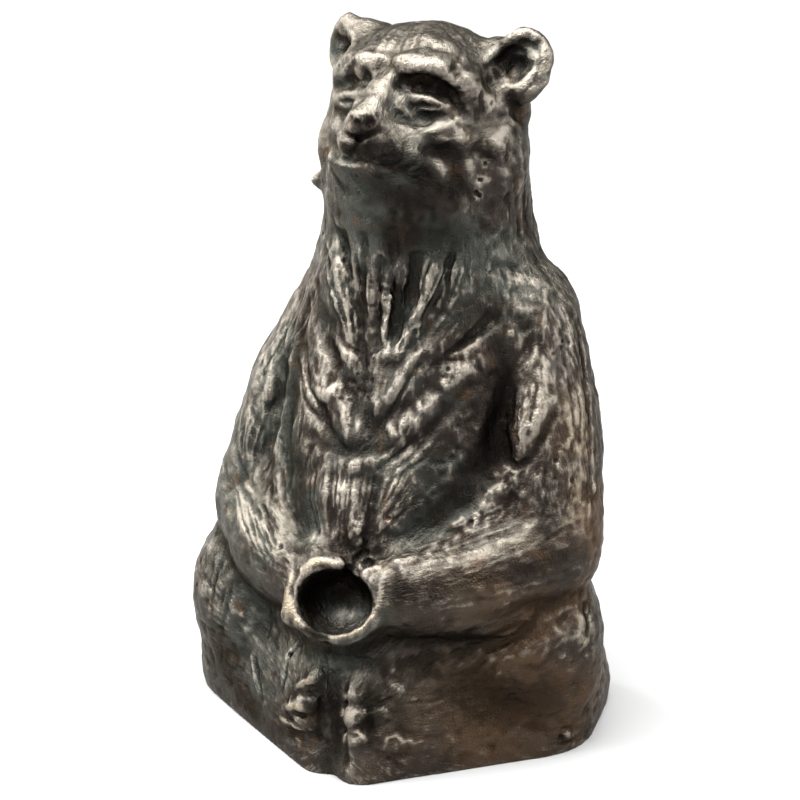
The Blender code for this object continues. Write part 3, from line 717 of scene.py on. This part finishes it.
# Size and height of the lumps that kneading leaves, and the distances from the middle of the cup
# and from the ground over which they set in. Fur and pits start above LOWEST.
LUMPS = ((17.0, 0.7), (8.0, 0.55), (4.2, 0.32), (2.2, 0.14))
CUP_CLEAR = (14, 24)
GROUND_CLEAR = (0.5, 4)
LOWEST = 3


def knead(skin):
    """The unevenness of a surface modelled by hand: broad thumb marks and small lumps."""
    for size, height in LUMPS:
        skin.push += height * np.array([noise.noise(Vector(p) / size) for p in skin.points])
    cup = np.linalg.norm(skin.points - np.array(CUP_MOUTH), axis=1)
    skin.push *= smooth_step(cup, *CUP_CLEAR) * smooth_step(skin.points[:, 2], *GROUND_CLEAR)


# A stroke of fur leans off its way by up to this share and is laid in this many steps.
LEAN = 0.35
FUR_STEPS = 3


def walk(skin, start, length, rng):
    """A path over the skin that follows the lie of the fur."""
    path = [start]
    lean = rng.uniform(-LEAN, LEAN)
    for _ in range(FUR_STEPS):
        here = Vector(path[-1])
        place, normal, _, _ = skin.bvh.find_nearest(here)
        way = lie_of_fur(place)
        way = way + normal.cross(way) * lean
        way = (way - normal * way.dot(normal)).normalized()
        path.append(np.array(skin.bvh.find_nearest(here + way * (length / FUR_STEPS))[0]))
    return path


# The fur lies in patches of two sizes, and the skin stays bare where their noise is below BARE. It
# is finer on the face, above FACE_ABOVE and in front of FACE_FRONT. RIDGES is the share of strokes
# that stand out instead, by RIDGE_DEPTH of their depth. No strokes together go deeper than
# FUR_DEPTH.
PATCHES = (24, 9)
BARE = -0.12
FACE_ABOVE = 225
FACE_FRONT = -8
FACE_LENGTH, FACE_DEPTH = 0.6, 0.7
RIDGES = 0.35
RIDGE_DEPTH = 0.7
FUR_DEPTH = 0.7
FUR_LENGTHS = (0.6, 1.7)
FUR_WIDTHS = (1.0, 2.4)
FUR_DEPTHS = (0.08, 0.34)


def carve_fur(skin, rng, number, length):
    """Short strokes over the whole body, in patches, as a modelling tool leaves them."""
    fur = np.zeros(skin.count)
    for _ in range(number):
        start = skin.points[rng.randrange(skin.count)]
        place = Vector(start)
        if start[2] < LOWEST or (place - CUP_MOUTH).length < CUP_CLEAR[1]:
            continue
        patch = noise.noise(place / PATCHES[0]) + 0.5 * noise.noise(place / PATCHES[1])
        if patch < BARE:
            continue
        size = rng.uniform(*FUR_LENGTHS)
        depth = rng.uniform(*FUR_DEPTHS) * min(1.0, 0.4 + 1.6 * (patch - BARE))
        if start[2] > FACE_ABOVE and start[1] < FACE_FRONT:
            size, depth = FACE_LENGTH * size, FACE_DEPTH * depth
        if rng.random() < RIDGES:
            depth = -RIDGE_DEPTH * depth
        path = walk(skin, start, length * size, rng)
        skin.stroke(path, rng.uniform(*FUR_WIDTHS), depth, fur)
    skin.push += FUR_DEPTH * np.tanh(fur / FUR_DEPTH)


# Pits spread at random, in millimetres.
PIT_WIDTHS = (0.9, 1.5)
PIT_DEPTHS = (0.3, 0.8)


def carve_pits(skin, rng, number):
    for width, depth, places in map(read_row, PITS_SEEN):
        skin.marks(places, width, depth)
    for _ in range(number):
        start = skin.points[rng.randrange(skin.count)]
        if start[2] > LOWEST:
            skin.stroke([start], rng.uniform(*PIT_WIDTHS), rng.uniform(*PIT_DEPTHS))


# Rounds over which the skin is evened before a rise is measured, and the rise that counts as full.
NEAR = (6, 0.10)
WIDE = (60, 0.80)
LIFT_ROUNDS = 12


def finish_notes(skin):
    """What the bronze needs to know of each point.

    These are how far it stands out from the skin near it and round it, how far it faces up, which
    limb it is on and how it is painted: wear, painted highlights, painted shade and green-grey
    patina.
    """
    near, wide = (np.tanh(skin.rise(rounds) / unit) for rounds, unit in (NEAR, WIDE))
    lift = skin.average(skin.normals.copy(), LIFT_ROUNDS)[:, 2]
    head, arm, leg = np.array([areas(point) for point in skin.points]).T
    return {
        "near_rise": near, "wide_rise": wide, "lift": lift,
        "on_head": head, "on_arm": arm, "on_leg": leg,
        "rubbed": paint(skin, RUBBED_AND_HIGHLIT), "golden": paint(skin, GOLDEN_WEAR_AND_HIGHLIGHTS),
        "shaded": paint(skin, SHADED), "greenish": paint(skin, GREENISH),
    }


def keep_in_box(mesh):
    """Brings the few points back that left the box of the solid when triangles were taken away."""
    move_to(mesh, np.clip(read_rows(mesh, "co"), CAD_LOW, CAD_HIGH))


def apply_modifiers(piece):
    graph = bpy.context.evaluated_depsgraph_get()
    made = bpy.data.meshes.new_from_object(piece.evaluated_get(graph))
    piece.modifiers.clear()
    old = piece.data
    piece.data = made
    bpy.data.meshes.remove(old)


class Nodes:
    """Adds nodes to a material one after another and links them."""

    def __init__(self, material):
        material.use_nodes = True
        self.tree = material.node_tree
        self.tree.nodes.clear()

    def add(self, kind, *inputs, **settings):
        node = self.tree.nodes.new("ShaderNode" + kind)
        for name, value in settings.items():
            setattr(node, name, value)
        for socket, value in inputs:
            if isinstance(value, bpy.types.NodeSocket):
                self.tree.links.new(value, node.inputs[socket])
            else:
                node.inputs[socket].default_value = value
        return node

    def noise(self, place, scale, detail=3.0, roughness=0.55):
        return self.add(
            "TexNoise", ("Vector", place), ("Scale", scale), ("Detail", detail),
            ("Roughness", roughness),
        ).outputs["Fac"]

    def span(self, value, low, high, to_low=0.0, to_high=1.0):
        return self.add(
            "MapRange", ("Value", value), ("From Min", low), ("From Max", high),
            ("To Min", to_low), ("To Max", to_high), interpolation_type="SMOOTHSTEP",
        ).outputs["Result"]

    def attribute(self, name):
        return self.add("Attribute", attribute_name=name).outputs["Fac"]

    def total(self, *parts):
        """The sum of values, each with its weight."""
        total = 0.0
        for value, weight in parts:
            sockets = (0, value), (1, weight), (2, total)
            total = self.add("Math", *sockets, operation="MULTIPLY_ADD").outputs[0]
        return total

    def math(self, operation, first, second):
        return self.add("Math", (0, first), (1, second), operation=operation).outputs[0]

    def vector(self, operation, *parts):
        """The outputs of a calculation with vectors."""
        return self.add("VectorMath", *enumerate(parts), operation=operation).outputs

    def mix(self, share, first, second):
        return self.add("Mix", (0, share), (6, first), (7, second), data_type="RGBA").outputs[2]


# Scales of the noise, per metre.
BROAD, MIDDLE, SMALL, GRAIN = 28, 110, 420, 1500

# The limbs with streaks of their own: attribute, place that the streaks run from, how fine they are
# side by side. ALONG is how fast all of them change along their way.
STREAKS = (("on_head", NOSE, 20), ("on_arm", CUP_MOUTH, 26), ("on_leg", TOES, 34))
ALONG = 1.6
DRAWN_OUT = (1, 1, 0.2)


def streaks(make, place, centre, across):
    """Noise drawn out along lines that run from a centre, given in millimetres."""
    away = make.vector("SUBTRACT", place, tuple(centre * MM))[0]
    reach = make.vector("LENGTH", away)["Value"]
    way = make.vector("NORMALIZE", away)[0]
    return make.add(
        "TexNoise", ("Vector", way), ("W", make.math("MULTIPLY", reach, ALONG)),
        ("Scale", across), ("Detail", 2.5), ("Roughness", 0.6), noise_dimensions="4D",
    ).outputs["Fac"]


def fur_streaks(make, place):
    """Fine streaks that follow the fur over the whole body."""
    long = make.vector("MULTIPLY", place, DRAWN_OUT)[0]
    height = make.noise(long, SMALL, 2.5, 0.6)
    for area, centre, across in STREAKS:
        share = make.attribute(area)
        field = streaks(make, place, centre, across)
        height = make.add("Mix", (0, share), (2, height), (3, field), data_type="FLOAT").outputs[0]
    return height


# Colour of the deepest hollows: dark patina with painted shade over it.
HOLLOW_PATINA_AND_SHADE = (0.003, 0.0026, 0.0022, 1.0)


def make_bronze(settings):
    """Dark patina, green or brown, with painted shade in the hollows and creases, and wear, painted
    highlights and a painted sheen on what stands out and faces up.
    """
    material = bpy.data.materials.new("patinated_bronze")
    make = Nodes(material)
    place = make.add("TexCoord").outputs["Object"]
    wide = make.attribute("wide_rise")
    shaded = make.attribute("shaded")
    axes = make.add("SeparateXYZ", ("Vector", place)).outputs
    broad = make.noise(place, BROAD, 4.0)
    middle = make.noise(place, MIDDLE, 4.0)
    small = make.noise(place, SMALL, 4.0, 0.65)
    grain = make.noise(place, GRAIN, 2.0, 0.6)
    streak = fur_streaks(make, place)

    # Darker towards the hollows and creases, partly patina and partly painted shade, and darker
    # again where the table of painted shade lies; the places of bright wear and painted highlight
    # take some of it away.
    patina_and_shade_in_hollows = make.span(make.total((wide, 1), (middle, -0.6)), 0.2, -0.9)
    dark = make.math("MAXIMUM", make.total((patina_and_shade_in_hollows, 0.7)), shaded)
    dark = make.span(make.total((dark, 1), (make.attribute("rubbed"), -0.6)), 0.0, 1.0)
    greenish = make.span(make.total((broad, 1), (make.attribute("greenish"), 0.5)), 0.44, 0.66)
    colour = make.mix(greenish, tuple(settings.patina), tuple(settings.verdigris))
    left_side = make.total((axes["X"], 1), (axes["Z"], -0.35))
    brown = make.math("MULTIPLY", make.span(left_side, -0.02, 0.05), make.span(broad, 0.38, 0.6))
    brown = make.math("MAXIMUM", brown, make.total((make.span(middle, 0.55, 0.72), 0.7)))
    colour = make.mix(brown, colour, tuple(settings.warm))
    colour = make.mix(make.total((dark, 0.8)), colour, HOLLOW_PATINA_AND_SHADE)

    lift = make.attribute("lift")
    near = make.attribute("near_rise")
    # Painted sheen: paler metal where the skin faces up, along the fur streaks, on raised places
    # and on the head, less where painted shade lies.
    top_sheen = make.total(
        (lift, 1), (streak, 1.3), (near, 0.35), (shaded, -0.9), (make.attribute("on_head"), 0.25),
    )
    top_sheen = make.span(top_sheen, 0.7, 1.75, 0.0, 0.6)
    sheen_colour = make.mix(brown, tuple(settings.top_sheen), tuple(settings.top_sheen_brown))
    colour = make.mix(top_sheen, colour, sheen_colour)
    # Bright metal: wear on raised places, and painted highlights on the places that face up, along
    # the fur streaks as glints and in the listed places; none where painted shade lies.
    wear_and_highlight = make.total(
        (wide, 0.40), (near, 0.30), (lift, 0.30),
        (small, 0.55), (middle, 0.5), (streak, 1.4), (make.attribute("rubbed"), 0.55),
        (make.attribute("golden"), 0.4), (shaded, -0.9),
    )
    wear_and_highlight = make.span(wear_and_highlight, 1.42, 2.36)
    bright = make.mix(make.attribute("golden"), tuple(settings.rubbed), tuple(settings.gold))
    head, arm = make.attribute("on_head"), make.attribute("on_arm")
    # The painted highlights are kept weaker on the head and on the forearms.
    most = make.total((1.0, 0.8), (head, -0.18), (arm, -0.2))
    colour = make.mix(make.math("MULTIPLY", wear_and_highlight, most), colour, bright)

    roughness = make.span(small, 0.3, 0.7, 0.26, 0.42)
    height = make.total((streak, 1.2), (small, 0.8), (grain, 0.6))
    relief = make.add("Bump", ("Height", height), ("Strength", 0.8), ("Distance", 0.0008))
    # Painted shade also takes the coat away, so the shaded places reflect less.
    shader = make.add(
        "BsdfPrincipled", ("Base Color", colour), ("Roughness", roughness),
        ("Metallic", 0.92), ("Specular Tint", (0.5, 0.48, 0.45, 1.0)),
        ("Coat Weight", make.span(dark, 0.0, 0.6, 0.12, 0.0)), ("Coat Roughness", 0.25),
        ("Normal", relief.outputs["Normal"]),
    )
    make.add("OutputMaterial", ("Surface", shader.outputs["BSDF"]))
    return material


# Points of the solid closer than SAME_POINT, in metres, are merged. RELAXING is how often the even
# skin is smoothed.
SAME_POINT = 1e-6
RELAXING = 8
SEED = 11


def copy_solid(skin_step):
    """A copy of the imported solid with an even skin, ready to be carved."""
    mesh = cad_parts["bear"].data.copy()
    mesh.name = "bear_skin"
    bm = bmesh.new()
    bm.from_mesh(mesh)
    bmesh.ops.remove_doubles(bm, verts=bm.verts, dist=SAME_POINT)
    bm.to_mesh(mesh)
    bm.free()
    mesh.materials.clear()
    piece = add_object("bear_casting", mesh)
    even = piece.modifiers.new("even skin", "REMESH")
    even.mode = "VOXEL"
    even.voxel_size = skin_step
    relax = piece.modifiers.new("relax the facets", "SMOOTH")
    relax.iterations = RELAXING
    apply_modifiers(piece)
    return piece


class CastBear(bpy.types.Operator):
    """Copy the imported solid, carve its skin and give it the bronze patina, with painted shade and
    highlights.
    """

    bl_idname = "bear.cast"
    bl_label = "Cast the bear"

    def execute(self, context):
        settings = context.scene.bear_settings
        rng = random.Random(SEED)
        piece = copy_solid(settings.skin_step)
        skin = Skin(piece.data, context.scene.stage_settings)
        carve_forms(skin, settings.relief)
        carve_hatches(skin, rng, settings.relief)
        knead(skin)
        carve_fur(skin, rng, settings.fur_strokes, settings.fur_length / MM)
        carve_pits(skin, rng, settings.pits)
        skin.done()
        notes = finish_notes(skin)

        fewer = piece.modifiers.new("fewer triangles", "DECIMATE")
        fewer.ratio = settings.triangles / (2 * len(piece.data.polygons))
        apply_modifiers(piece)
        keep_in_box(piece.data)
        nearest = [skin.near.find(v.co / MM)[1] for v in piece.data.vertices]
        for name, values in notes.items():
            attribute = piece.data.attributes.new(name, "FLOAT", "POINT")
            attribute.data.foreach_set("value", values[nearest].astype(np.float32))
        piece.data.materials.append(make_bronze(settings))
        piece.data.shade_smooth()
        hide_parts("bear")
        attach(piece, "root")
        return {"FINISHED"}


# Name, place, width, height and the setting that holds the power of each light.
LIGHTS = (
    ("overhead", (0.0, -0.30, 1.60), 1.4, 1.4, "top_power"),
    ("key", (-1.0, -0.80, 0.95), 0.8, 1.1, "key_power"),
    ("rim left", (-0.9, 0.35, 0.45), 0.25, 1.0, "rim_power"),
    ("rim right", (1.0, 0.25, 0.5), 0.25, 1.0, "rim_power"),
)

# Half the width of the floor, and the distances over which its glow grows, in metres.
FLOOR = 6
GLOW_FROM, GLOW_TO = 0.25, 1.6


class SetStage(bpy.types.Operator):
    """Lay the pale floor, hang the soft lights and place the camera."""

    bl_idname = "bear.stage"
    bl_label = "Set the stage"

    def execute(self, context):
        stage = context.scene.stage_settings
        lay_floor(stage)
        for name, place, width, height, power in LIGHTS:
            hang_light(name, place, width, height, getattr(stage, power))
        set_surround(stage)
        place_camera(stage)
        context.scene.view_settings.view_transform = "Standard"
        return {"FINISHED"}


def lay_floor(stage):
    bm = bmesh.new()
    bmesh.ops.create_grid(bm, x_segments=1, y_segments=1, size=FLOOR)
    mesh = bpy.data.meshes.new("floor")
    bm.to_mesh(mesh)
    bm.free()
    material = bpy.data.materials.new("pale_floor")
    make = Nodes(material)
    place = make.add("TexCoord").outputs["Object"]
    reach = make.vector("LENGTH", place)["Value"]
    far = stage.floor_glow + stage.far_glow
    glow = make.span(reach, GLOW_FROM, GLOW_TO, stage.floor_glow, far)
    shader = make.add(
        "BsdfPrincipled", ("Base Color", tuple(stage.floor_colour)), ("Roughness", 0.9),
        ("Specular IOR Level", 0.2), ("Emission Color", tuple(stage.floor_colour)),
        ("Emission Strength", glow),
    )
    make.add("OutputMaterial", ("Surface", shader.outputs["BSDF"]))
    mesh.materials.append(material)
    floor = add_object("floor", mesh)


def hang_light(name, place, width, height, power):
    light = bpy.data.lights.new(name, "AREA")
    light.shape = "RECTANGLE"
    light.size = width
    light.size_y = height
    light.energy = power
    lamp = add_object(name, light)
    lamp.location = place
    aim = VIEW_TARGET - Vector(place)
    lamp.rotation_euler = aim.to_track_quat("-Z", "Y").to_euler()


def set_surround(stage):
    world = bpy.data.worlds.new("pale surround")
    world.use_nodes = True
    background = world.node_tree.nodes["Background"]
    background.inputs["Color"].default_value = (1, 1, 1, 1)
    background.inputs["Strength"].default_value = stage.sky
    bpy.context.scene.world = world


def place_camera(stage):
    camera = bpy.data.cameras.new("main view")
    camera.angle = stage.field
    holder = add_object("main view", camera)
    place, right, up, forward = camera_place(stage)
    turn = Matrix((right, up, -forward)).transposed().to_4x4()
    holder.matrix_world = Matrix.Translation(place) @ turn
    bpy.context.scene.camera = holder


class BearPanel(bpy.types.Panel):
    """Sizes, colours and steps of the bronze bear."""

    bl_idname = "VIEW3D_PT_bear"
    bl_label = "Bronze bear"
    bl_space_type = "VIEW_3D"
    bl_region_type = "UI"
    bl_category = "Bear"

    def draw(self, context):
        layout = self.layout
        for settings in (context.scene.bear_settings, context.scene.stage_settings):
            for name in settings.bl_rna.properties.keys():
                if name not in ("rna_type", "name"):
                    layout.prop(settings, name)
        layout.operator(CastBear.bl_idname)
        layout.operator(SetStage.bl_idname)


CLASSES = (BearSettings, StageSettings, CastBear, SetStage, BearPanel)


def register():
    for made in CLASSES:
        bpy.utils.register_class(made)
    bpy.types.Scene.bear_settings = PointerProperty(type=BearSettings)
    bpy.types.Scene.stage_settings = PointerProperty(type=StageSettings)


def unregister():
    del bpy.types.Scene.stage_settings
    del bpy.types.Scene.bear_settings
    for made in reversed(CLASSES):
        bpy.utils.unregister_class(made)


def main():
    register()
    bpy.ops.bear.cast()
    bpy.ops.bear.stage()


if __name__ == "__main__":
    main()
